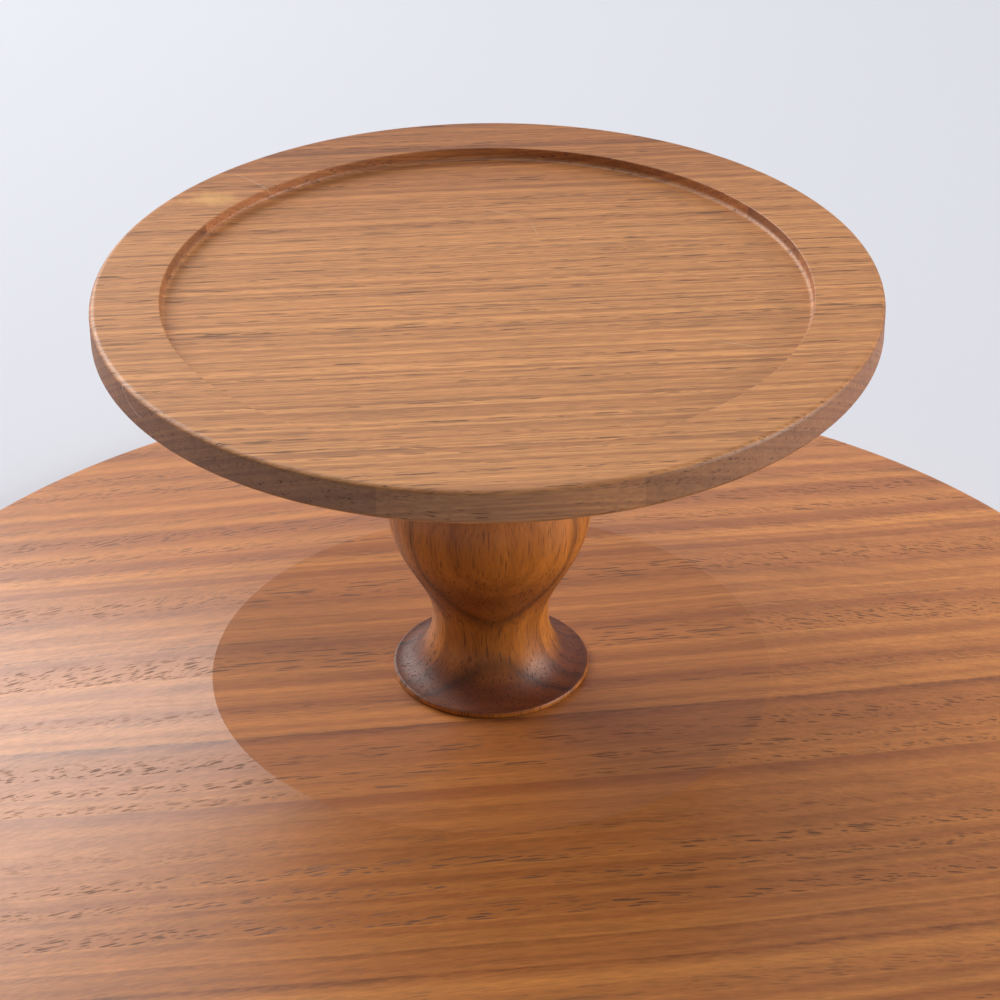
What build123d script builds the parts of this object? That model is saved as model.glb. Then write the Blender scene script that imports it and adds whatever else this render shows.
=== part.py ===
from build123d import *
import os

# Two-level round serving stand in solid wood, in millimetres.
# It stands on the plate's flat rim at Z = 0, and +Z is the axis of the pedestal.
# Both discs are glued up edge to edge from staves that run along X.

# ---- Driving dimensions -------------------------------------------------------------
overall_height = 114.25

plate_diameter = 305.0
plate_thickness = 24.0
plate_rim_height = 5.6
plate_flat_diameter = 118.4
plate_stave_count = 9
plate_foot_ring_width = 14.0
plate_hollow_depth = 3.0
plate_hollow_cove = 2.0
plate_top_round = 2.0
plate_bottom_round = 1.5

tray_diameter = 157.0
tray_thickness = 7.2
tray_rim_width = 13.85
tray_recess_depth = 2.6
tray_recess_cove = 1.0
tray_edge_round = 1.2
tray_stave_count = 9
tray_edge_stave_depth = 3.8

foot_diameter = 41.4
foot_lip_height = 1.5
foot_lip_break = 0.5
waist_diameter = 24.3
waist_height = 14.0
bulb_diameter = 42.6
flare_sweep_in = 4.5
flare_sweep_up = 7.0
swell_sweep_low = 9.0
swell_sweep_high = 13.0

spigot_diameter = 18.0
spigot_height = 2.4
glue_gap = 0.05
spigot_end_gap = 0.2

bolt_diameter = 8.0
bolt_machine_length = 14.5
bolt_wood_length = 26.0
bolt_point_length = 5.0
bolt_point_diameter = 3.0
bolt_end_chamfer = 0.8
bolt_end_gap = 1.0
thread_gap = 0.05

insert_diameter = 12.0
insert_length = 15.0
insert_depth_below_face = 0.5
insert_end_gap = 1.0
insert_chamfer = 0.5
insert_slot_width = 1.4
insert_slot_depth = 2.0

# ---- Levels and radii that follow from them -------------------------------------------
plate_radius = plate_diameter / 2
plate_hollow_radius = plate_radius - plate_foot_ring_width
tray_radius = tray_diameter / 2
tray_underside = overall_height - tray_thickness
pedestal_height = tray_underside - plate_thickness
insert_top = plate_thickness - insert_depth_below_face
insert_bottom = insert_top - insert_length
insert_hole_bottom = insert_bottom - insert_end_gap
bolt_bottom = plate_thickness - bolt_machine_length
bolt_top = plate_thickness + bolt_wood_length

section_plane = Plane.XZ


def section(points, rounds):
    """A closed outline of (radius, height) points, with the listed corners rounded."""
    face = make_face(section_plane * Polyline(*points, close=True))
    for corner, radius in rounds:
        place = section_plane.from_local_coords(Vector(*corner))
        vertex = face.vertices().sort_by_distance(place)[0]
        face = fillet(vertex, radius)
    return face


def turned(face):
    """The solid that a section makes when it is turned about the pedestal's axis."""
    return revolve(face, axis=Axis.Z)


def upright_cylinder(diameter, bottom, top):
    """A plain cylinder on the pedestal's axis between two levels."""
    cylinder = Cylinder(diameter / 2, top - bottom, align=(Align.CENTER, Align.CENTER, Align.MIN))
    return Pos(0, 0, bottom) * cylinder


def stave(disc, front, back):
    """The piece of a disc between two glue planes across Y."""
    reach = 2 * plate_diameter
    slab = Pos(0, (front + back) / 2, 0) * Box(reach, back - front, reach)
    return (disc & slab).solids()[0]


def even_joints(diameter, count):
    """Edges of staves of one width across the whole disc, front to back."""
    width = diameter / count
    return [-diameter / 2 + width * index for index in range(count + 1)]


def trimmed_joints(diameter, count, edge_depth):
    """Edges of equal staves with a narrow closing stave of a set depth at the front and back."""
    inner = diameter - 2 * edge_depth
    width = inner / (count - 2)
    middle = [-inner / 2 + width * index for index in range(count - 1)]
    return [-diameter / 2] + middle + [diameter / 2]


def plate_disc():
    """The large plate: flat in the middle, tapered to a thin rim, hollowed underneath."""
    flat_radius = plate_flat_diameter / 2
    points = [
        (0, plate_hollow_depth),
        (plate_hollow_radius, plate_hollow_depth),
        (plate_hollow_radius, 0),
        (plate_radius, 0),
        (plate_radius, plate_rim_height),
        (flat_radius, plate_thickness),
        (0, plate_thickness),
    ]
    rounds = [
        (points[1], plate_hollow_cove),
        (points[3], plate_bottom_round),
        (points[4], plate_top_round),
    ]
    insert_hole = upright_cylinder(
        insert_diameter + 2 * glue_gap, insert_hole_bottom, plate_thickness + insert_end_gap
    )
    return turned(section(points, rounds)) - insert_hole


def tray_disc():
    """The small tray: a shallow recess inside a flat rim, with a blind mortise underneath."""
    recess_radius = tray_radius - tray_rim_width
    recess_floor = overall_height - tray_recess_depth
    points = [
        (0, tray_underside),
        (tray_radius, tray_underside),
        (tray_radius, overall_height),
        (recess_radius, overall_height),
        (recess_radius, recess_floor),
        (0, recess_floor),
    ]
    rounds = [
        (points[1], tray_edge_round),
        (points[2], tray_edge_round),
        (points[4], tray_recess_cove),
    ]
    mortise = upright_cylinder(
        spigot_diameter + 2 * glue_gap,
        tray_underside - spigot_end_gap,
        tray_underside + spigot_height + spigot_end_gap,
    )
    return turned(section(points, rounds)) - mortise


def half_profile(base, direction):
    """The turned outline from one end of the pedestal to the middle of the bulb."""

    def point(radius, height):
        return (radius, 0, base + direction * height)

    foot = foot_diameter / 2
    waist = waist_diameter / 2
    bulb = bulb_diameter / 2
    bulb_height = pedestal_height / 2
    lip = Polyline(
        point(0, 0),
        point(foot - foot_lip_break, 0),
        point(foot, foot_lip_break),
        point(foot, foot_lip_height - foot_lip_break),
        point(foot - foot_lip_break, foot_lip_height),
    )
    flare = Bezier(
        point(foot - foot_lip_break, foot_lip_height),
        point(foot - foot_lip_break - flare_sweep_in, foot_lip_height),
        point(waist, waist_height - flare_sweep_up),
        point(waist, waist_height),
    )
    swell = Bezier(
        point(waist, waist_height),
        point(waist, waist_height + swell_sweep_low),
        point(bulb, bulb_height - swell_sweep_high),
        point(bulb, bulb_height),
    )
    return [lip, flare, swell]


def pedestal():
    """The double-waisted turned pedestal, with its spigot on top and the bolt's bore below."""
    outline = half_profile(plate_thickness, 1) + half_profile(tray_underside, -1)
    outline.append(Line((0, 0, plate_thickness), (0, 0, tray_underside)))
    body = turned(make_face(Curve() + outline))
    spigot = upright_cylinder(spigot_diameter, tray_underside, tray_underside + spigot_height)
    bore = upright_cylinder(
        bolt_diameter + 2 * thread_gap, plate_thickness - bolt_end_gap, bolt_top + bolt_end_gap
    )
    return body + spigot - bore


def hanger_bolt():
    """The steel bolt: machine end down in the insert, pointed wood end up in the pedestal."""
    radius = bolt_diameter / 2
    points = [
        (0, bolt_bottom),
        (radius - bolt_end_chamfer, bolt_bottom),
        (radius, bolt_bottom + bolt_end_chamfer),
        (radius, bolt_top - bolt_point_length),
        (bolt_point_diameter / 2, bolt_top),
        (0, bolt_top),
    ]
    return turned(section(points, []))


def threaded_insert():
    """The brass insert in the plate: a slotted sleeve that the bolt screws into."""
    outer = insert_diameter / 2
    inner = bolt_diameter / 2 + thread_gap
    points = [
        (inner, insert_bottom),
        (outer - insert_chamfer, insert_bottom),
        (outer, insert_bottom + insert_chamfer),
        (outer, insert_top - insert_chamfer),
        (outer - insert_chamfer, insert_top),
        (inner, insert_top),
    ]
    slot = Pos(0, 0, insert_top) * Box(insert_diameter, insert_slot_width, 2 * insert_slot_depth)
    return turned(section(points, [])) - slot


def save(name, shape):
    """Write one piece as its own solid in its own file."""
    solid = shape.solids()[0]
    solid.label = name
    export_step(solid, f"parts/{name}.step")


def save_staves(name, disc, joints):
    """Split a disc at its glue planes and write the staves, numbered from front to back."""
    for number, (front, back) in enumerate(zip(joints, joints[1:]), start=1):
        save(f"{name}_stave_{number}", stave(disc, front, back))


os.makedirs("parts", exist_ok=True)
save_staves("plate", plate_disc(), even_joints(plate_diameter, plate_stave_count))
save_staves(
    "tray", tray_disc(), trimmed_joints(tray_diameter, tray_stave_count, tray_edge_stave_depth)
)
save("pedestal", pedestal())
save("hanger_bolt", hanger_bolt())
save("threaded_insert", threaded_insert())
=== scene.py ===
import math

import bpy
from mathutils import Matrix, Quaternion, Vector


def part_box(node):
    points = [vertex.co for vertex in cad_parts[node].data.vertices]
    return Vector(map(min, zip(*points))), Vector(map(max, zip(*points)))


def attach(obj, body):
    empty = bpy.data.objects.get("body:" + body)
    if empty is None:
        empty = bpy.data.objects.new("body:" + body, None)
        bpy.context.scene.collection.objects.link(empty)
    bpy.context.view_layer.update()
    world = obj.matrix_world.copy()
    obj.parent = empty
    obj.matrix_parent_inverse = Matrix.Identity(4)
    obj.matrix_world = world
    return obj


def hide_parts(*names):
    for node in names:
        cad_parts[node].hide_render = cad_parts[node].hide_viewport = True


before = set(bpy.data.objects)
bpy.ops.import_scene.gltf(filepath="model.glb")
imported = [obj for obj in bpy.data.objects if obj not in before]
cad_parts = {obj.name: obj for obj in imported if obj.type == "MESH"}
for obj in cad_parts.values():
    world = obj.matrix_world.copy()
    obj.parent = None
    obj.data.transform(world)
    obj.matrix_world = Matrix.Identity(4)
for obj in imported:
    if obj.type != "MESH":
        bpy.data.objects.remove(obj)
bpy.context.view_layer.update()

# ---- Sizes in metres -----------------------------------------------------------------
PLATE_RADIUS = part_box("plate_stave_5")[1].x
PLATE_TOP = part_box("plate_stave_5")[1].z
PLATE_RIM_HEIGHT = 0.0056
PLATE_FLAT_RADIUS = 0.0592
PLATE_FOOT_RING_WIDTH = 0.014
PLATE_HOLLOW_DEPTH = 0.003
PLATE_HOLLOW_COVE = 0.002
PLATE_TOP_ROUND = 0.002
PLATE_BOTTOM_ROUND = 0.0015
STAVE_COUNT = 9

TRAY_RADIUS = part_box("tray_stave_5")[1].x
TRAY_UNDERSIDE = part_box("tray_stave_5")[0].z
TRAY_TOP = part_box("tray_stave_5")[1].z
TRAY_RIM_WIDTH = 0.01385
TRAY_RECESS_DEPTH = 0.0026
TRAY_RECESS_COVE = 0.001
TRAY_RECESS_BREAK = 0.00025
TRAY_EDGE_ROUND = 0.0012

FOOT_RADIUS = 0.0207
FOOT_LIP_HEIGHT = 0.0015
FOOT_LIP_BREAK = 0.0005
FOOT_LIP_BEND = 0.3
WAIST_RADIUS = 0.01215
WAIST_HEIGHT = 0.014
BULB_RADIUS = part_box("pedestal")[1].x
FLARE_SWEEP_IN = 0.0045
FLARE_SWEEP_UP = 0.007
SWELL_SWEEP_LOW = 0.009
SWELL_SWEEP_HIGH = 0.013
SPIGOT_RADIUS = 0.009
SPIGOT_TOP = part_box("pedestal")[1].z
GLUE_GAP = 0.00005
MORTISE_END_GAP = 4 * GLUE_GAP

BOLT_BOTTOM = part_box("hanger_bolt")[0].z
BOLT_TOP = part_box("hanger_bolt")[1].z
BOLT_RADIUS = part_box("hanger_bolt")[1].x
BOLT_POINT_LENGTH = 0.005
BOLT_POINT_RADIUS = 0.0015
BOLT_CHAMFER = 0.0008
MACHINE_PITCH = 0.00125
MACHINE_DEPTH = 0.0007
WOOD_PITCH = 0.003
WOOD_DEPTH = 0.0011
WOOD_GROOVE_POWER = 3
MACHINE_RINGS_PER_PITCH = 8
WOOD_RINGS_PER_PITCH = 12
THREAD_GAP = 0.00005
INSERT_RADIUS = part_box("threaded_insert")[1].x
INSERT_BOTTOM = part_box("threaded_insert")[0].z
END_GAP = 0.001

MM = 0.001
PER_MM = (1 / MM, 1 / MM, 1 / MM)
NEAR_AN_EDGE = 0.4 * MM
TAPER_SHARES = (0.01, 0.25, 0.5, 0.75, 0.99, 1)
DISC_STEPS = 360
PEDESTAL_STEPS = 192
BOLT_STEPS = 64
ROUND_STEPS = 12
FLARE_STEPS = 28
SWELL_STEPS = 32
SMALLEST_STEP = 0.000002
SMOOTH_ANGLE = math.radians(9)
BOLT_SMOOTH_ANGLE = math.radians(40)

CAMERA_PLACE = Vector((-0.0285, -0.5443, 0.3967))
CAMERA_TARGET = Vector((0.0022, 0, 0.0646))
CAMERA_ROLL = math.radians(-0.47)
CAMERA_LENS = 111.4
CAMERA_SENSOR = 36
CAMERA_REACH = 20

ROOM_COLOUR = (0.93, 0.95, 1.0, 1)
ROOM_SPAN = (-0.7, 0.8)
ROOM_FRONT = 0.16
ROOM_BACK = 0.55
BACKDROP = 0.9
LAMP_TARGET = (0, 0, 0.06)
SOFTBOXES = (
    ("left_back_softbox", (-0.95, 1.0, 0.85), (1.3, 1.0), 26, (1, 0.99, 0.98)),
    ("right_softbox", (1.2, -0.3, 0.36), (0.7, 0.6), 13, (1, 0.98, 0.96)),
    ("top_softbox", (-0.2, 0.2, 1.4), (0.9, 0.7), 5, (1, 0.99, 0.97)),
)
FLOOR_RADIUS = 1.6
FLOOR_SIDES = 96
FLOOR_COLOUR = (0.59, 0.60, 0.645, 1)
FLOOR_ROUGHNESS = 0.9


# ---- Outlines and turning ------------------------------------------------------------
def arc(centre, radius, start, end, steps=ROUND_STEPS):
    """Points on an arc in the (radius, height) plane, angles in degrees."""
    points = []
    for index in range(steps + 1):
        angle = math.radians(start + (end - start) * index / steps)
        points.append((centre[0] + radius * math.cos(angle), centre[1] + radius * math.sin(angle)))
    return points


def bezier(start, lead_out, lead_in, end, steps):
    """Points on a cubic curve between two ends, pulled by two handles."""
    points = []
    for index in range(steps + 1):
        t = index / steps
        weights = ((1 - t) ** 3, 3 * t * (1 - t) ** 2, 3 * t * t * (1 - t), t ** 3)
        corners = (start, lead_out, lead_in, end)
        points.append(tuple(sum(w * c[axis] for w, c in zip(weights, corners)) for axis in (0, 1)))
    return points


def deselect_all():
    """Leave nothing selected."""
    bpy.ops.object.select_all(action="DESELECT")


def make_active(piece):
    """Select one piece alone and make it the active one."""
    deselect_all()
    piece.select_set(True)
    bpy.context.view_layer.objects.active = piece


def lathe(name, outline, steps):
    """Draw an outline point by point and spin it about Z into a closed piece."""
    deselect_all()
    bpy.ops.mesh.primitive_plane_add(size=MM)
    piece = bpy.context.object
    piece.name = name
    piece.data.name = name
    bpy.ops.object.mode_set(mode="EDIT")
    bpy.ops.mesh.select_all(action="SELECT")
    bpy.ops.mesh.merge(type="CENTER")
    bpy.ops.transform.translate(value=(outline[0][0], 0, outline[0][1]))
    for here, there in zip(outline, outline[1:]):
        step = (there[0] - here[0], 0, there[1] - here[1])
        bpy.ops.mesh.extrude_vertices_move(TRANSFORM_OT_translate={"value": step})
    bpy.ops.mesh.select_all(action="SELECT")
    bpy.ops.mesh.spin(steps=steps, angle=2 * math.pi, center=(0, 0, 0), axis=(0, 0, 1))
    bpy.ops.mesh.select_all(action="SELECT")
    bpy.ops.mesh.remove_doubles(threshold=SMALLEST_STEP)
    bpy.ops.mesh.normals_make_consistent(inside=False)
    bpy.ops.object.mode_set(mode="OBJECT")
    return piece


def smooth(piece):
    """Smooth shading that keeps flats flat beside the rounded edges."""
    make_active(piece)
    bpy.ops.object.shade_smooth_by_angle(angle=SMOOTH_ANGLE)
    bpy.ops.object.modifier_add(type="WEIGHTED_NORMAL")
    piece.modifiers[-1].keep_sharp = True
    bpy.ops.object.modifier_apply(modifier=piece.modifiers[-1].name)


def sawn_off(piece, level, normal):
    """Cut a piece across Y at a level, and cap the cut."""
    make_active(piece)
    bpy.ops.object.mode_set(mode="EDIT")
    bpy.ops.mesh.select_all(action="SELECT")
    bpy.ops.mesh.bisect(
        plane_co=(0, level, 0), plane_no=(0, normal, 0), use_fill=True, clear_outer=True
    )
    bpy.ops.mesh.select_all(action="SELECT")
    bpy.ops.mesh.normals_make_consistent(inside=False)
    bpy.ops.object.mode_set(mode="OBJECT")


def staves(disc, name, body, material):
    """Saw a disc into staves at the joints of the frame's own staves, each a piece of its own."""
    for number in range(1, STAVE_COUNT + 1):
        node = f"{name}_stave_{number}"
        low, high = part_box(node)
        piece = disc.copy()
        piece.data = disc.data.copy()
        piece.name = f"{node}_board"
        piece.data.name = piece.name
        bpy.context.scene.collection.objects.link(piece)
        if number > 1:
            sawn_off(piece, low.y, -1)
        if number < STAVE_COUNT:
            sawn_off(piece, high.y, 1)
        smooth(piece)
        finished(piece, body, material, node)
    bpy.data.objects.remove(disc)


def finished(piece, body, material, node):
    """Give a piece its material and its body, and hide the CAD node that it stands in for."""
    piece.data.materials.clear()
    piece.data.materials.append(material)
    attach(piece, body)
    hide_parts(node)


def plate_outline():
    """The plate from the axis underneath, round the rim and up to the insert's hole."""
    hollow = PLATE_RADIUS - PLATE_FOOT_RING_WIDTH
    taper = math.atan((PLATE_TOP - PLATE_RIM_HEIGHT) / (PLATE_RADIUS - PLATE_FLAT_RADIUS))
    facing = 90 - math.degrees(taper)
    rim_round_height = PLATE_RIM_HEIGHT - PLATE_TOP_ROUND * (1 - math.sin(taper)) / math.cos(taper)
    hole = INSERT_RADIUS + GLUE_GAP
    near = NEAR_AN_EDGE
    outline = [(0, PLATE_HOLLOW_DEPTH), (hollow - PLATE_HOLLOW_COVE - near, PLATE_HOLLOW_DEPTH)]
    cove = (hollow - PLATE_HOLLOW_COVE, PLATE_HOLLOW_DEPTH - PLATE_HOLLOW_COVE)
    outline += arc(cove, PLATE_HOLLOW_COVE, 90, 0)
    outline += arc((hollow + near, near), near, 180, 270)
    bottom = (PLATE_RADIUS - PLATE_BOTTOM_ROUND, PLATE_BOTTOM_ROUND)
    outline += arc(bottom, PLATE_BOTTOM_ROUND, 270, 360)
    top = (PLATE_RADIUS - PLATE_TOP_ROUND, rim_round_height)
    outline += arc(top, PLATE_TOP_ROUND, 0, facing)
    slope = (PLATE_FLAT_RADIUS - outline[-1][0], PLATE_TOP - outline[-1][1])
    last = outline[-1]
    for share in TAPER_SHARES:
        outline.append((last[0] + slope[0] * share, last[1] + slope[1] * share))
    outline.append((PLATE_FLAT_RADIUS - near, PLATE_TOP))
    outline.append((hole + near, PLATE_TOP))
    outline.append((hole, PLATE_TOP - near / 4))
    outline.append((hole, INSERT_BOTTOM - END_GAP))
    outline.append((0, INSERT_BOTTOM - END_GAP))
    return outline


def tray_outline():
    """The tray from its mortise, under the rim, round the edge and down into the recess."""
    mortise = SPIGOT_RADIUS + GLUE_GAP
    mortise_top = SPIGOT_TOP + MORTISE_END_GAP
    recess = TRAY_RADIUS - TRAY_RIM_WIDTH
    floor = TRAY_TOP - TRAY_RECESS_DEPTH
    near = NEAR_AN_EDGE
    edge = TRAY_RADIUS - TRAY_EDGE_ROUND
    outline = [(0, mortise_top), (mortise, mortise_top), (mortise, TRAY_UNDERSIDE)]
    outline.append((edge - near, TRAY_UNDERSIDE))
    outline += arc((edge, TRAY_UNDERSIDE + TRAY_EDGE_ROUND), TRAY_EDGE_ROUND, 270, 360)
    outline += arc((edge, TRAY_TOP - TRAY_EDGE_ROUND), TRAY_EDGE_ROUND, 0, 90)
    outline.append((edge - near, TRAY_TOP))
    outline.append((recess + TRAY_RECESS_BREAK + near, TRAY_TOP))
    brow = (recess + TRAY_RECESS_BREAK, TRAY_TOP - TRAY_RECESS_BREAK)
    outline += arc(brow, TRAY_RECESS_BREAK, 90, 180)
    cove = (recess - TRAY_RECESS_COVE, floor + TRAY_RECESS_COVE)
    outline += arc(cove, TRAY_RECESS_COVE, 0, -90)
    outline.append((recess - TRAY_RECESS_COVE - near, floor))
    outline.append((0, floor))
    return outline


def half_pedestal(base, direction):
    """The turned outline from one end of the pedestal to the middle of its bulb."""
    half = (TRAY_UNDERSIDE - PLATE_TOP) / 2

    def at(radius, height):
        return (radius, base + direction * height)

    lip = FOOT_RADIUS - FOOT_LIP_BREAK
    across, up = (1 - FOOT_LIP_BEND) * FOOT_LIP_BREAK, FOOT_LIP_BEND * FOOT_LIP_BREAK
    outline = [at(lip, 0), at(lip + across, up)]
    outline.append(at(FOOT_RADIUS, FOOT_LIP_BREAK))
    outline.append(at(FOOT_RADIUS, FOOT_LIP_HEIGHT - FOOT_LIP_BREAK))
    outline.append(at(lip + across, FOOT_LIP_HEIGHT - up))
    outline += bezier(
        at(lip, FOOT_LIP_HEIGHT),
        at(lip - FLARE_SWEEP_IN, FOOT_LIP_HEIGHT),
        at(WAIST_RADIUS, WAIST_HEIGHT - FLARE_SWEEP_UP),
        at(WAIST_RADIUS, WAIST_HEIGHT),
        FLARE_STEPS,
    )
    outline += bezier(
        at(WAIST_RADIUS, WAIST_HEIGHT),
        at(WAIST_RADIUS, WAIST_HEIGHT + SWELL_SWEEP_LOW),
        at(BULB_RADIUS, half - SWELL_SWEEP_HIGH),
        at(BULB_RADIUS, half),
        SWELL_STEPS,
    )[1:]
    return outline


def pedestal_outline():
    """The pedestal from the bolt's bore, up its side and over the spigot."""
    bore = BOLT_RADIUS + THREAD_GAP
    lower = half_pedestal(PLATE_TOP, 1)
    upper = half_pedestal(TRAY_UNDERSIDE, -1)[::-1][1:]
    outline = [(0, BOLT_TOP + END_GAP), (bore, BOLT_TOP + END_GAP), (bore, PLATE_TOP)]
    outline += lower + upper
    outline += [(SPIGOT_RADIUS, TRAY_UNDERSIDE), (SPIGOT_RADIUS, SPIGOT_TOP), (0, SPIGOT_TOP)]
    return outline


# ---- Camera, light and stage ---------------------------------------------------------
def camera():
    """A long lens, well above the tray and looking down at the whole pedestal."""
    data = bpy.data.cameras.new("camera")
    data.lens = CAMERA_LENS
    data.sensor_width = CAMERA_SENSOR
    data.clip_end = CAMERA_REACH
    holder = bpy.data.objects.new("camera", data)
    bpy.context.scene.collection.objects.link(holder)
    holder.location = CAMERA_PLACE
    holder.rotation_mode = "QUATERNION"
    aim = (CAMERA_TARGET - CAMERA_PLACE).to_track_quat("-Z", "Y")
    holder.rotation_quaternion = aim @ Quaternion((0, 0, 1), CAMERA_ROLL)
    bpy.context.scene.camera = holder


def softbox(name, place, size, power, tint):
    """A large rectangular lamp that faces the stand."""
    data = bpy.data.lights.new(name, "AREA")
    data.shape = "RECTANGLE"
    data.size, data.size_y = size
    data.energy = power
    data.color = tint
    lamp = bpy.data.objects.new(name, data)
    bpy.context.scene.collection.objects.link(lamp)
    lamp.location = place
    lamp.rotation_mode = "QUATERNION"
    lamp.rotation_quaternion = (Vector(LAMP_TARGET) - Vector(place)).to_track_quat("-Z", "Y")
    lamp.visible_camera = False


def studio():
    """A pale room that is brighter behind the stand than in front, and three softboxes."""
    scene = bpy.context.scene
    scene.view_settings.view_transform = "Standard"
    world = bpy.data.worlds.new("studio")
    scene.world = world
    world.use_nodes = True
    tree = world.node_tree
    tree.nodes.clear()
    coordinate = tree.nodes.new("ShaderNodeTexCoord")
    split = tree.nodes.new("ShaderNodeSeparateXYZ")
    tree.links.new(coordinate.outputs["Generated"], split.inputs[0])
    ramp = tree.nodes.new("ShaderNodeMapRange")
    ramp.inputs["From Min"].default_value = ROOM_SPAN[0]
    ramp.inputs["From Max"].default_value = ROOM_SPAN[1]
    ramp.inputs["To Min"].default_value = ROOM_FRONT
    ramp.inputs["To Max"].default_value = ROOM_BACK
    tree.links.new(split.outputs["Y"], ramp.inputs["Value"])
    path = tree.nodes.new("ShaderNodeLightPath")
    strength = tree.nodes.new("ShaderNodeMix")
    strength.inputs["B"].default_value = BACKDROP
    tree.links.new(path.outputs["Is Camera Ray"], strength.inputs["Factor"])
    tree.links.new(ramp.outputs["Result"], strength.inputs["A"])
    background = tree.nodes.new("ShaderNodeBackground")
    background.inputs["Color"].default_value = ROOM_COLOUR
    tree.links.new(strength.outputs["Result"], background.inputs["Strength"])
    output = tree.nodes.new("ShaderNodeOutputWorld")
    tree.links.new(background.outputs[0], output.inputs["Surface"])
    for box in SOFTBOXES:
        softbox(*box)


def floor():
    """A wide round pale floor under the stand."""
    deselect_all()
    bpy.ops.mesh.primitive_circle_add(vertices=FLOOR_SIDES, radius=FLOOR_RADIUS, fill_type="NGON")
    ground = bpy.context.object
    ground.name = "floor"
    material = bpy.data.materials.new("floor_paint")
    material.use_nodes = True
    shader = material.node_tree.nodes["Principled BSDF"]
    shader.inputs["Base Color"].default_value = FLOOR_COLOUR
    shader.inputs["Roughness"].default_value = FLOOR_ROUGHNESS
    ground.data.materials.append(material)


# ---- Shader wiring -------------------------------------------------------------------
class Wiring:
    """Short ways to add and join the nodes of one shader tree."""

    def __init__(self, tree):
        self.tree = tree

    def node(self, kind, **settings):
        """Add a node and set its properties."""
        made = self.tree.nodes.new(kind)
        for name, value in settings.items():
            setattr(made, name, value)
        return made

    def feed(self, socket, value):
        """Join a socket to an output, or give it a constant."""
        if isinstance(value, bpy.types.NodeSocket):
            self.tree.links.new(value, socket)
        else:
            socket.default_value = value

    def math(self, operation, first, second=0.0, clamp=False):
        """One step of arithmetic on one or two numbers."""
        made = self.node("ShaderNodeMath", operation=operation, use_clamp=clamp)
        self.feed(made.inputs[0], first)
        self.feed(made.inputs[1], second)
        return made.outputs[0]

    def vector(self, operation, first, second):
        """One step of arithmetic on two vectors."""
        made = self.node("ShaderNodeVectorMath", operation=operation)
        self.feed(made.inputs[0], first)
        self.feed(made.inputs[1], second)
        return made.outputs["Value" if operation == "DOT_PRODUCT" else "Vector"]

    def swing(self, value, amount):
        """Turn a value about 0.5 into one about zero, of a stated size."""
        return self.math("MULTIPLY", self.math("SUBTRACT", value, 0.5), amount)

    def stretched(self, place, lengths):
        """Measure a place in three lengths, so that a noise of it is as long as they are."""
        return self.vector("MULTIPLY", place, tuple(1 / length for length in lengths))

    def span(self, value, low, high, start=0.0, end=1.0):
        """Ease a value from one span to another, held at its ends."""
        made = self.node("ShaderNodeMapRange", interpolation_type="SMOOTHSTEP")
        for name, entry in (
            ("Value", value), ("From Min", low), ("From Max", high), ("To Min", start), ("To Max", end),
        ):
            self.feed(made.inputs[name], entry)
        return made.outputs["Result"]

    def noise(self, place, detail=2.0, dimensions="3D", roughness=0.5):
        """Noise from 0 to 1 about 0.5, one unit of the place across."""
        made = self.node("ShaderNodeTexNoise", noise_dimensions=dimensions)
        self.feed(made.inputs["W" if dimensions == "1D" else "Vector"], place)
        made.inputs["Scale"].default_value = 1
        made.inputs["Detail"].default_value = detail
        made.inputs["Roughness"].default_value = roughness
        return made.outputs["Fac"]

    def cells(self, place):
        """Distance to the nearest of many points about a unit apart, and that point's own colour."""
        made = self.node("ShaderNodeTexVoronoi", feature="F1")
        self.feed(made.inputs["Vector"], place)
        made.inputs["Scale"].default_value = 1
        return made.outputs["Distance"], made.outputs["Color"]

    def blend(self, amount, first, second, kind="MIX"):
        """Mix two colours."""
        made = self.node("ShaderNodeMix", data_type="RGBA", blend_type=kind)
        self.feed(made.inputs["Factor"], amount)
        self.feed(made.inputs["A"], first)
        self.feed(made.inputs["B"], second)
        return made.outputs["Result"]

    def tinted(self, base, tint):
        """Multiply a colour by another one."""
        return self.blend(1.0, base, tint, "MULTIPLY")

    def shaded(self, base, factor):
        """Multiply a colour by a number."""
        return self.tinted(base, self.vector("MULTIPLY", (1.0, 1.0, 1.0), factor))


def colour(red, green, blue):
    """An opaque colour from its linear red, green and blue."""
    return (red, green, blue, 1.0)


def new_group(name, entries, results):
    """An empty node group with its named inputs and outputs, and its two end nodes."""
    group = bpy.data.node_groups.new(name, "ShaderNodeTree")
    for label, kind, value in entries:
        socket = group.interface.new_socket(label, in_out="INPUT", socket_type=kind)
        if value is not None:
            socket.default_value = value
    for label, kind in results:
        group.interface.new_socket(label, in_out="OUTPUT", socket_type=kind)
    wiring = Wiring(group)
    return group, wiring, wiring.node("NodeGroupInput").outputs, wiring.node("NodeGroupOutput").inputs


def place_group(wiring, group, **values):
    """Put a group in a material and give its inputs their values."""
    made = wiring.node("ShaderNodeGroup", node_tree=group)
    for label, value in values.items():
        wiring.feed(made.inputs[label.replace("_", " ")], value)
    return made.outputs


# ---- The wood ------------------------------------------------------------------------
# Lengths of noises in millimetres: in the grain's own X, Y and Z, and X lies along the fibre.
LONG_WAVE = (150, 60, 60)
SHORT_WAVE = (42, 16, 16)
PORE_DRIFT = (9, 5, 5)
COARSE_FIBRE = (55, 2.6, 2.6)
FINE_FIBRE = (5, 0.5, 0.5)
RING_RIPPLE = (12, 5, 5)
KNOT_BUMPS = (2.5, 2.5, 2.5)
SCRATCH_BEND = (40, 40, 40)
SCRATCH_PATCH = (25, 25, 25)

# How far those noises move what they act on, in millimetres. PORE_SWAY is in Y and Z.
LONG_WAVE_SIZE = 3.0
SHORT_WAVE_SIZE = 0.8
PORE_SWAY = (0.9, 1.7)
DARK_RING_RIPPLE = 1.6
SCRATCH_CURVE = 60.0

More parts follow.
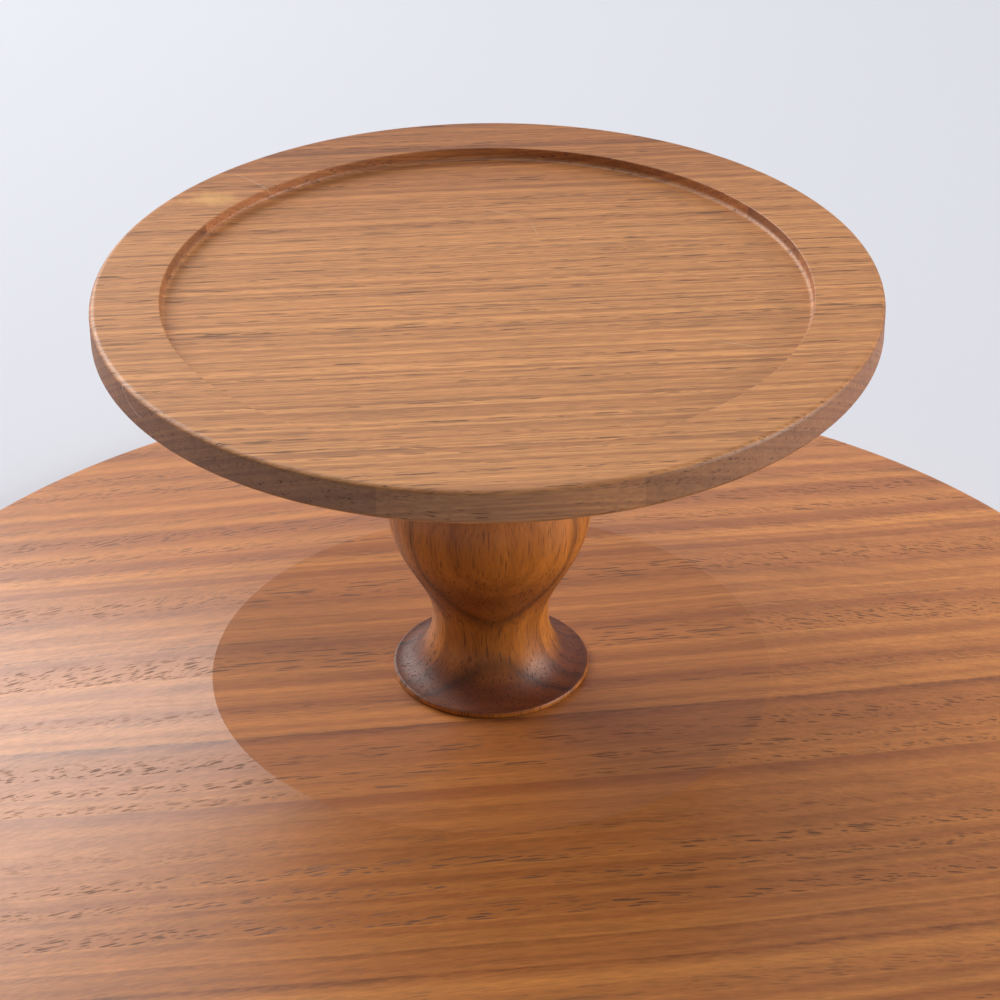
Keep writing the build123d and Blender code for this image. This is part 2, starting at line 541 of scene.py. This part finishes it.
# Growth rings: how the noises repeat for each ring, and how strongly they act.
LEAN = math.radians(34)
UNEVEN_RINGS_RATE = 0.37
UNEVEN_RINGS = 1.6
BANDS_PER_RING = 1.25
FINE_BANDS_PER_RING = 4.3
FINE_BAND_STRENGTH = 0.35
RING_FADE = 0.16
PORE_RINGS_RATE = 0.73
COARSE_FIBRE_SHARE = 0.4
FINE_FIBRE_SHARE = 0.6

# The second set of pores is smaller: an offset in millimetres, then shares of the first set's values.
SMALL_PORE_OFFSET = (31.0, 17.0, 53.0)
SMALL_PORE_LENGTH = 0.55
SMALL_PORE_SPACING = 0.6
SMALL_PORE_SIZE = 0.9
SMALL_PORE_AMOUNT = 0.8

# The knot's reach along X, Y and Z in metres, and how ragged its edge is, as a share of that.
KNOT_SIZE = (0.0062, 0.0038, 0.006)
KNOT_RAGGED = 1.3

# Scratches lie in slanting rows this many millimetres apart.
SCRATCH_SPACING = 37.0
SCRATCH_SLANT = 0.7
SCRATCH_STRENGTH = 0.35
SCRATCH_COLOUR = (0.75, 0.62, 0.5, 1.0)

# Changes of roughness, and depths of relief in metres.
STREAK_ROUGHNESS = -0.12
PORE_ROUGHNESS = 0.25
END_ROUGHNESS = 0.14
METAL_UNEVEN = 0.3
WOOD_RELIEF = 0.00012
METAL_RELIEF = 0.00003
METAL_BUMP = 0.15

# How often the metals' noises repeat, per millimetre in X, Y and Z.
METAL_CLOUD = (0.35, 0.35, 0.35)
METAL_MARKS = (0.4, 0.4, 14.0)


def growth_rings():
    """Walnut growth rings: soft brown bands and thin dark lines, by distance across the rings."""
    group, w, given, result = new_group(
        "walnut_growth_rings",
        [
            ("Place", "NodeSocketVector", None),
            ("Across Rings", "NodeSocketVector", None),
            ("Ring Width", "NodeSocketFloat", 3.2),
            ("Wander", "NodeSocketFloat", 1.0),
            ("Line Strength", "NodeSocketFloat", 0.5),
            ("Shift", "NodeSocketFloat", 0.0),
        ],
        [("Band", "NodeSocketFloat"), ("Line", "NodeSocketFloat"), ("Early", "NodeSocketFloat")],
    )
    distance = w.vector("DOT_PRODUCT", given["Place"], given["Across Rings"])
    long_wave = w.noise(w.stretched(given["Place"], LONG_WAVE), 1.0)
    short_wave = w.noise(w.stretched(given["Place"], SHORT_WAVE), 2.0)
    long_wave = w.math("MULTIPLY", long_wave, LONG_WAVE_SIZE)
    short_wave = w.math("MULTIPLY", short_wave, SHORT_WAVE_SIZE)
    wave = w.math("ADD", long_wave, short_wave)
    distance = w.math("ADD", distance, w.math("MULTIPLY", wave, given["Wander"]))
    rings = w.math("ADD", w.math("DIVIDE", distance, given["Ring Width"]), given["Shift"])
    spread = w.noise(w.math("MULTIPLY", rings, UNEVEN_RINGS_RATE), 0.0, "1D")
    rings = w.math("ADD", rings, w.math("MULTIPLY", spread, UNEVEN_RINGS))
    phase = w.math("FRACT", rings)
    year = w.math("FLOOR", rings)
    chance = w.node("ShaderNodeTexWhiteNoise", noise_dimensions="1D")
    w.feed(chance.inputs["W"], year)
    bands = w.noise(w.math("MULTIPLY", rings, BANDS_PER_RING), 2.0, "1D", 0.55)
    fine = w.noise(w.math("MULTIPLY", rings, FINE_BANDS_PER_RING), 3.0, "1D", 0.6)
    rise = w.math("MULTIPLY", w.math("SUBTRACT", 0.5, phase), RING_FADE)
    band = w.math("ADD", w.span(bands, 0.28, 0.72), rise)
    band = w.math("ADD", band, w.swing(fine, FINE_BAND_STRENGTH), True)
    w.feed(result["Band"], band)
    line = w.math("MULTIPLY", w.span(phase, 0.72, 0.96), w.span(phase, 0.965, 1.0, 1.0, 0.0))
    strength = w.math("MULTIPLY", w.span(chance.outputs["Value"], 0.35, 1.0), given["Line Strength"])
    w.feed(result["Line"], w.math("MULTIPLY", line, strength))
    early = w.math("MULTIPLY", w.span(phase, 0.0, 0.06), w.span(phase, 0.3, 0.7, 1.0, 0.15))
    lively = w.noise(w.math("MULTIPLY", year, PORE_RINGS_RATE), 1.0, "1D")
    lively = w.span(lively, 0.44, 0.52, 0.15, 1.0)
    w.feed(result["Early"], w.math("MULTIPLY", early, lively))
    return group


def wood_pores():
    """Open pores: slender hollows that lie along the fibre, some of them left out by chance."""
    group, w, given, result = new_group(
        "walnut_pores",
        [
            ("Place", "NodeSocketVector", None),
            ("Pore Length", "NodeSocketFloat", 20.0),
            ("Pore Spacing", "NodeSocketFloat", 1.0),
            ("Pore Size", "NodeSocketFloat", 0.25),
            ("Amount", "NodeSocketFloat", 1.0),
        ],
        [("Pore", "NodeSocketFloat")],
    )
    drift = w.noise(w.stretched(given["Place"], PORE_DRIFT), 1.0)
    sway = w.node("ShaderNodeCombineXYZ")
    w.feed(sway.inputs["Y"], w.math("MULTIPLY", drift, PORE_SWAY[0]))
    w.feed(sway.inputs["Z"], w.math("MULTIPLY", drift, PORE_SWAY[1]))
    moved = w.vector("ADD", given["Place"], sway.outputs[0])
    size = w.node("ShaderNodeCombineXYZ")
    w.feed(size.inputs["X"], given["Pore Length"])
    w.feed(size.inputs["Y"], given["Pore Spacing"])
    w.feed(size.inputs["Z"], given["Pore Spacing"])
    near, tint = w.cells(w.vector("DIVIDE", moved, size.outputs[0]))
    split = w.node("ShaderNodeSeparateColor")
    w.feed(split.inputs[0], tint)
    present = w.math("LESS_THAN", split.outputs[0], given["Amount"])
    reach = w.math("MULTIPLY", given["Pore Size"], w.span(split.outputs[1], 0.0, 1.0, 0.55, 1.25))
    depth = w.span(near, w.math("MULTIPLY", reach, 0.5), reach, 1.0, 0.0)
    w.feed(result["Pore"], w.math("MULTIPLY", depth, present))
    return group


def fibres():
    """Fine streaks along the fibre, from 0 to 1 about 0.5, coarse and fine together."""
    group, w, given, result = new_group(
        "wood_fibres", [("Place", "NodeSocketVector", None)], [("Streak", "NodeSocketFloat")],
    )
    coarse = w.noise(w.stretched(given["Place"], COARSE_FIBRE), 3.0)
    fine = w.noise(w.stretched(given["Place"], FINE_FIBRE), 2.0, roughness=0.65)
    coarse = w.math("MULTIPLY", coarse, COARSE_FIBRE_SHARE)
    fine = w.math("MULTIPLY", fine, FINE_FIBRE_SHARE)
    w.feed(result["Streak"], w.math("ADD", coarse, fine))
    return group


def end_grain():
    """How far a surface faces along the fibre, and how far it faces sideways off the top."""
    group, w, given, result = new_group(
        "wood_facing",
        [("Facing", "NodeSocketVector", None), ("Fibre", "NodeSocketVector", None)],
        [("End", "NodeSocketFloat"), ("Side", "NodeSocketFloat")],
    )
    along = w.math("ABSOLUTE", w.vector("DOT_PRODUCT", given["Facing"], given["Fibre"]))
    w.feed(result["End"], along)
    upright = w.math("ABSOLUTE", w.vector("DOT_PRODUCT", given["Facing"], (0, 0, 1)))
    w.feed(result["Side"], w.span(upright, 0.45, 0.65, 1.0, 0.0))
    return group


def board_tones():
    """A random tone for each glued board, by its place across the disc."""
    group, w, given, result = new_group(
        "board_tones",
        [("Across", "NodeSocketFloat", 0.0), ("Board Width", "NodeSocketFloat", 20.0)],
        [("Tone", "NodeSocketFloat")],
    )
    number = w.math("FLOOR", w.math("ADD", w.math("DIVIDE", given["Across"], given["Board Width"]), 0.5))
    chance = w.node("ShaderNodeTexWhiteNoise", noise_dimensions="1D")
    w.feed(chance.inputs["W"], number)
    w.feed(result["Tone"], chance.outputs["Value"])
    return group


def scratches():
    """A few hair-thin curved scratches and dust fibres."""
    group, w, given, result = new_group(
        "faint_scratches", [("Place", "NodeSocketVector", None)], [("Scratch", "NodeSocketFloat")],
    )
    bend = w.noise(w.stretched(given["Place"], SCRATCH_BEND), 1.0)
    split = w.node("ShaderNodeSeparateXYZ")
    w.feed(split.inputs[0], given["Place"])
    slant = w.math("MULTIPLY", split.outputs["Y"], SCRATCH_SLANT)
    level = w.math("ADD", split.outputs["X"], slant)
    level = w.math("ADD", level, w.math("MULTIPLY", bend, SCRATCH_CURVE))
    phase = w.math("FRACT", w.math("DIVIDE", level, SCRATCH_SPACING))
    thin = w.span(w.math("ABSOLUTE", w.math("SUBTRACT", phase, 0.5)), 0.001, 0.0035, 1.0, 0.0)
    patch = w.noise(w.stretched(given["Place"], SCRATCH_PATCH), 2.0)
    w.feed(result["Scratch"], w.math("MULTIPLY", thin, w.span(patch, 0.56, 0.66)))
    return group


def pore_layers(w, place, rings, groups, look):
    """Two sets of pores, coarse and small, both thickest in early wood."""
    coarse = place_group(
        w, groups["pores"], Place=place, Pore_Length=look["pore_length"],
        Pore_Spacing=look["pore_spacing"], Pore_Size=look["pore_size"], Amount=look["pore_amount"],
    )["Pore"]
    small = place_group(
        w, groups["pores"], Place=w.vector("ADD", place, SMALL_PORE_OFFSET),
        Pore_Length=look["pore_length"] * SMALL_PORE_LENGTH,
        Pore_Spacing=look["pore_spacing"] * SMALL_PORE_SPACING,
        Pore_Size=look["pore_size"] * SMALL_PORE_SIZE, Amount=SMALL_PORE_AMOUNT,
    )["Pore"]
    early = w.math("MAXIMUM", rings["Early"], look["late_pores"])
    open_pores = w.math("MULTIPLY", coarse, early)
    fine_pores = w.math("MULTIPLY", small, w.math("MULTIPLY", early, look["fine_pores"]))
    return w.math("MAXIMUM", open_pores, fine_pores)


def plain_wood(w, rings, streak, pores, look):
    """The wood's colour: bands, fibres, early wood, broken dark lines and pores."""
    base = w.blend(rings["Band"], look["dark"], look["light"])
    base = w.shaded(base, w.math("ADD", w.swing(streak, look["streaks"]), 1.0))
    base = w.blend(w.math("MULTIPLY", rings["Early"], look["early_dark"]), base, look["dark"])
    broken = w.math("MULTIPLY", rings["Line"], w.span(streak, 0.62, 0.38, 0.15, 1.0))
    base = w.blend(broken, base, look["line_colour"])
    return w.blend(w.math("MULTIPLY", pores, look["pore_dark"]), base, look["pore_colour"])


def with_dark_ring(w, base, place, across_rings, look):
    """One dark line in the rings, where the foot flares out."""
    level = w.vector("DOT_PRODUCT", place, across_rings)
    ripple = w.noise(w.stretched(place, RING_RIPPLE), 2.0)
    level = w.math("ADD", level, w.swing(ripple, DARK_RING_RIPPLE))
    gap = w.math("ABSOLUTE", w.math("SUBTRACT", level, look["dark_ring"]))
    return w.blend(w.span(gap, 0.0, look["dark_ring_width"], 0.5, 0.0), base, look["line_colour"])


def with_board_tones(w, base, place, side, groups, look):
    """Glued boards that differ a little on top and more on the side wall."""
    split = w.node("ShaderNodeSeparateXYZ")
    w.feed(split.inputs[0], w.vector("MULTIPLY", place, PER_MM))
    across = split.outputs["Y"]
    tone = place_group(w, groups["boards"], Across=across, Board_Width=look["board_width"])["Tone"]
    amount = w.math("ADD", w.math("MULTIPLY", side, look["side_tone"]), look["top_tone"])
    base = w.shaded(base, w.math("ADD", w.swing(tone, amount), 1.0))
    return w.blend(w.math("MULTIPLY", side, look["side_grey"]), base, look["side_colour"])


def with_painted_back_shade(w, base, place, look):
    """Painted shade: the tray grows smoothly darker towards the back, where less light and sheen fall on
    it.
    """
    split = w.node("ShaderNodeSeparateXYZ")
    w.feed(split.inputs[0], place)
    amount = w.span(split.outputs["Y"], *look["back_shade_span"], 0.0, 1.0)
    return w.blend(amount, base, w.tinted(base, look["back_shade_tint"]))


def with_knot(w, base, place, grain_place, look):
    """One small pale ragged knot."""
    offset = w.vector("SUBTRACT", place, look["knot"])
    bumps = w.noise(w.stretched(grain_place, KNOT_BUMPS), 2.0)
    length = w.node("ShaderNodeVectorMath", operation="LENGTH")
    w.feed(length.inputs[0], w.stretched(offset, KNOT_SIZE))
    edge = w.math("ADD", length.outputs["Value"], w.swing(bumps, KNOT_RAGGED))
    return w.blend(w.span(edge, 0.1, 1.2, 0.7, 0.0), base, look["knot_colour"])


def wood(name, fibre, across_rings, groups, look):
    """One walnut finish. Fibre is the axis that the grain follows, look holds its values."""
    material = bpy.data.materials.new(name)
    material.use_nodes = True
    w = Wiring(material.node_tree)
    shader = w.tree.nodes["Principled BSDF"]
    coordinate = w.node("ShaderNodeTexCoord")
    own_place = coordinate.outputs["Object"]
    turned = w.node("ShaderNodeMapping")
    w.feed(turned.inputs["Vector"], own_place)
    turned.inputs["Rotation"].default_value = look["turn"]
    turned.inputs["Scale"].default_value = PER_MM
    place = turned.outputs[0]
    rings = place_group(
        w, groups["rings"], Place=place, Across_Rings=across_rings, Ring_Width=look["ring_width"],
        Wander=look["wander"], Line_Strength=look["line"], Shift=look["shift"],
    )
    streak = place_group(w, groups["fibres"], Place=place)["Streak"]
    facing = place_group(w, groups["facing"], Facing=coordinate.outputs["Normal"], Fibre=fibre)
    pores = pore_layers(w, place, rings, groups, look)
    base = plain_wood(w, rings, streak, pores, look)
    if "dark_ring" in look:
        base = with_dark_ring(w, base, place, across_rings, look)
    ends = w.span(facing["End"], look["end_start"], look["end_full"], 0.0, look["end_dark"])
    base = w.blend(ends, base, w.tinted(base, look["end_colour"]))
    if "board_width" in look:
        base = with_board_tones(w, base, own_place, facing["Side"], groups, look)
    # Painted shade that darkens the back of the tray.
    if "back_shade_span" in look:
        base = with_painted_back_shade(w, base, own_place, look)
    if "knot" in look:
        base = with_knot(w, base, own_place, place, look)
    if look["scratched"]:
        worn = place_group(w, groups["scratches"], Place=place)["Scratch"]
        base = w.blend(w.math("MULTIPLY", worn, SCRATCH_STRENGTH), base, SCRATCH_COLOUR)
    w.feed(shader.inputs["Base Color"], base)
    rough = w.math("ADD", w.swing(streak, STREAK_ROUGHNESS), look["roughness"])
    rough = w.math("ADD", rough, w.math("MULTIPLY", pores, PORE_ROUGHNESS))
    rough = w.math("ADD", rough, w.math("MULTIPLY", ends, END_ROUGHNESS), True)
    w.feed(shader.inputs["Roughness"], rough)
    bump = w.node("ShaderNodeBump")
    bump.inputs["Strength"].default_value = look["bump"]
    bump.inputs["Distance"].default_value = WOOD_RELIEF
    w.feed(bump.inputs["Height"], w.math("SUBTRACT", w.math("MULTIPLY", streak, 0.5), pores))
    w.feed(shader.inputs["Normal"], bump.outputs["Normal"])
    shader.inputs["Specular IOR Level"].default_value = look["specular"]
    return material


def wood_groups():
    """The node groups that all the finishes share."""
    return {
        "rings": growth_rings(),
        "pores": wood_pores(),
        "fibres": fibres(),
        "facing": end_grain(),
        "boards": board_tones(),
        "scratches": scratches(),
    }


PLATE_LOOK = {
    "turn": (0.0, 0.0, math.radians(-4)),
    "ring_width": 4.6, "wander": 0.8, "line": 0.6, "shift": 0.0,
    "pore_length": 12.0, "pore_spacing": 0.62, "pore_size": 0.42, "pore_amount": 0.95,
    "pore_dark": 0.7, "fine_pores": 0.7, "late_pores": 0.05, "early_dark": 0.45,
    "light": colour(0.54, 0.205, 0.050), "dark": colour(0.33, 0.107, 0.029),
    "line_colour": colour(0.10, 0.034, 0.014), "pore_colour": colour(0.035, 0.013, 0.007),
    "streaks": 1.25, "end_start": 0.3, "end_full": 1.0, "end_dark": 0.6,
    "end_colour": colour(0.6, 0.5, 0.45),
    "board_width": 33.89, "top_tone": 0.03, "side_tone": 0.1, "side_grey": 0.0,
    "side_colour": colour(0.2, 0.1, 0.06),
    "roughness": 0.36, "bump": 0.22, "specular": 0.5, "scratched": False,
}
TRAY_LOOK = {
    "turn": (0.0, 0.0, math.radians(-1)),
    "ring_width": 1.3, "wander": 0.4, "line": 0.75, "shift": 3.4,
    "pore_length": 12.0, "pore_spacing": 0.62, "pore_size": 0.40, "pore_amount": 0.85,
    "pore_dark": 0.8, "fine_pores": 0.9, "late_pores": 0.3, "early_dark": 0.1,
    "light": colour(0.585, 0.258, 0.086), "dark": colour(0.385, 0.155, 0.052),
    "line_colour": colour(0.17, 0.075, 0.038), "pore_colour": colour(0.08, 0.034, 0.016),
    "streaks": 1.35, "end_start": 0.3, "end_full": 1.0, "end_dark": 0.6,
    "end_colour": colour(0.80, 0.64, 0.58),
    "board_width": 21.343, "top_tone": 0.03, "side_tone": 0.8, "side_grey": 0.25,
    "side_colour": colour(0.27, 0.105, 0.055),
    # Painted shade towards the back of the tray: a span of Y in metres, and the tint it darkens by.
    "back_shade_span": (0.020, 0.070), "back_shade_tint": colour(0.68, 0.58, 0.50),
    "knot": (-0.0553, 0.0437, 0.1142), "knot_colour": colour(0.66, 0.36, 0.11),
    "roughness": 0.46, "bump": 0.3, "specular": 0.5, "scratched": True,
}
PEDESTAL_LOOK = {
    "turn": (0.0, math.radians(90), 0.0),
    "ring_width": 5.2, "wander": 0.25, "line": 0.95, "shift": 0.7,
    "pore_length": 12.0, "pore_spacing": 0.66, "pore_size": 0.38, "pore_amount": 0.8,
    "pore_dark": 0.8, "fine_pores": 0.8, "late_pores": 0.6, "early_dark": 0.2,
    "dark_ring": -12.9, "dark_ring_width": 1.1,
    "light": colour(0.54, 0.175, 0.024), "dark": colour(0.33, 0.098, 0.013),
    "line_colour": colour(0.06, 0.024, 0.010), "pore_colour": colour(0.035, 0.012, 0.006),
    "streaks": 1.3, "end_start": 0.2, "end_full": 0.7, "end_dark": 1.0,
    "end_colour": colour(0.32, 0.23, 0.36),
    "roughness": 0.36, "bump": 0.25, "specular": 0.4, "scratched": False,
}


def metal(name, shade, tarnish, roughness):
    """A turned metal with clouded tarnish and fine turning marks."""
    material = bpy.data.materials.new(name)
    material.use_nodes = True
    w = Wiring(material.node_tree)
    shader = w.tree.nodes["Principled BSDF"]
    coordinate = w.node("ShaderNodeTexCoord")
    place = w.vector("MULTIPLY", coordinate.outputs["Object"], PER_MM)
    cloud = w.noise(w.vector("MULTIPLY", place, METAL_CLOUD), 3.0)
    marks = w.noise(w.vector("MULTIPLY", place, METAL_MARKS), 1.0)
    w.feed(shader.inputs["Base Color"], w.blend(w.span(cloud, 0.4, 0.7), shade, tarnish))
    uneven = w.swing(cloud, METAL_UNEVEN)
    w.feed(shader.inputs["Roughness"], w.math("ADD", uneven, roughness, True))
    bump = w.node("ShaderNodeBump")
    bump.inputs["Strength"].default_value = METAL_BUMP
    bump.inputs["Distance"].default_value = METAL_RELIEF
    w.feed(bump.inputs["Height"], marks)
    w.feed(shader.inputs["Normal"], bump.outputs["Normal"])
    shader.inputs["Metallic"].default_value = 1.0
    return material


def even_steps(start, end, step):
    """Heights from start to end, at most a step apart."""
    count = math.ceil((end - start) / step)
    return [start + (end - start) * index / count for index in range(count + 1)]


def bolt_outline():
    """The bolt's blank, with a ring of points every small part of a thread's pitch."""
    shoulder = PLATE_TOP
    point = BOLT_TOP - BOLT_POINT_LENGTH
    wood_step = WOOD_PITCH / WOOD_RINGS_PER_PITCH
    outline = [(0, BOLT_BOTTOM), (BOLT_RADIUS - BOLT_CHAMFER, BOLT_BOTTOM)]
    for height in even_steps(BOLT_BOTTOM + BOLT_CHAMFER, shoulder, MACHINE_PITCH / MACHINE_RINGS_PER_PITCH):
        outline.append((BOLT_RADIUS, height))
    for height in even_steps(shoulder, point, wood_step)[1:]:
        outline.append((BOLT_RADIUS, height))
    for height in even_steps(point, BOLT_TOP, wood_step)[1:]:
        share = (height - point) / BOLT_POINT_LENGTH
        outline.append((BOLT_RADIUS + (BOLT_POINT_RADIUS - BOLT_RADIUS) * share, height))
    outline.append((0, BOLT_TOP))
    return outline


def cut_threads(bolt):
    """Sink the helical grooves into the blank: a machine thread below, a wood thread above."""
    for vertex in bolt.data.vertices:
        radius = math.hypot(vertex.co.x, vertex.co.y)
        if radius < BOLT_POINT_RADIUS / 2:
            continue
        wooden = vertex.co.z > PLATE_TOP
        pitch, depth = (WOOD_PITCH, WOOD_DEPTH) if wooden else (MACHINE_PITCH, MACHINE_DEPTH)
        turn = vertex.co.z / pitch - math.atan2(vertex.co.y, vertex.co.x) / (2 * math.pi)
        crest = abs(2 * (turn % 1) - 1)
        groove = depth * (1 - crest ** WOOD_GROOVE_POWER) if wooden else depth * (1 - crest)
        end = min(1, abs(vertex.co.z - PLATE_TOP) / pitch, (vertex.co.z - BOLT_BOTTOM) / pitch)
        sunk = (radius - groove * end * min(1, radius / BOLT_RADIUS)) / radius
        vertex.co.x *= sunk
        vertex.co.y *= sunk
    bolt.data.update()


# ---- The making ----------------------------------------------------------------------
camera()
studio()
floor()

groups = wood_groups()
leaning_rings = (0.0, math.sin(LEAN), math.cos(LEAN))
along_x = (1.0, 0.0, 0.0)
plate_wood = wood("plate_walnut", along_x, leaning_rings, groups, PLATE_LOOK)
tray_wood = wood("tray_walnut", along_x, leaning_rings, groups, TRAY_LOOK)
pedestal_wood = wood("pedestal_walnut", (0.0, 0.0, 1.0), (0.0, 1.0, 0.0), groups, PEDESTAL_LOOK)

staves(lathe("plate_disc", plate_outline(), DISC_STEPS), "plate", "plate_body", plate_wood)
staves(lathe("tray_disc", tray_outline(), DISC_STEPS), "tray", "pedestal_body", tray_wood)
turned_pedestal = lathe("turned_pedestal", pedestal_outline(), PEDESTAL_STEPS)
smooth(turned_pedestal)
finished(turned_pedestal, "pedestal_body", pedestal_wood, "pedestal")

steel = metal("zinc_plated_steel", colour(0.62, 0.62, 0.60), colour(0.42, 0.41, 0.38), 0.32)
brass = metal("turned_brass", colour(0.78, 0.56, 0.22), colour(0.48, 0.31, 0.12), 0.34)
bolt = lathe("threaded_hanger_bolt", bolt_outline(), BOLT_STEPS)
cut_threads(bolt)
make_active(bolt)
bpy.ops.object.shade_smooth_by_angle(angle=BOLT_SMOOTH_ANGLE)
finished(bolt, "bolt_body", steel, "hanger_bolt")
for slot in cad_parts["threaded_insert"].material_slots:
    slot.material = brass
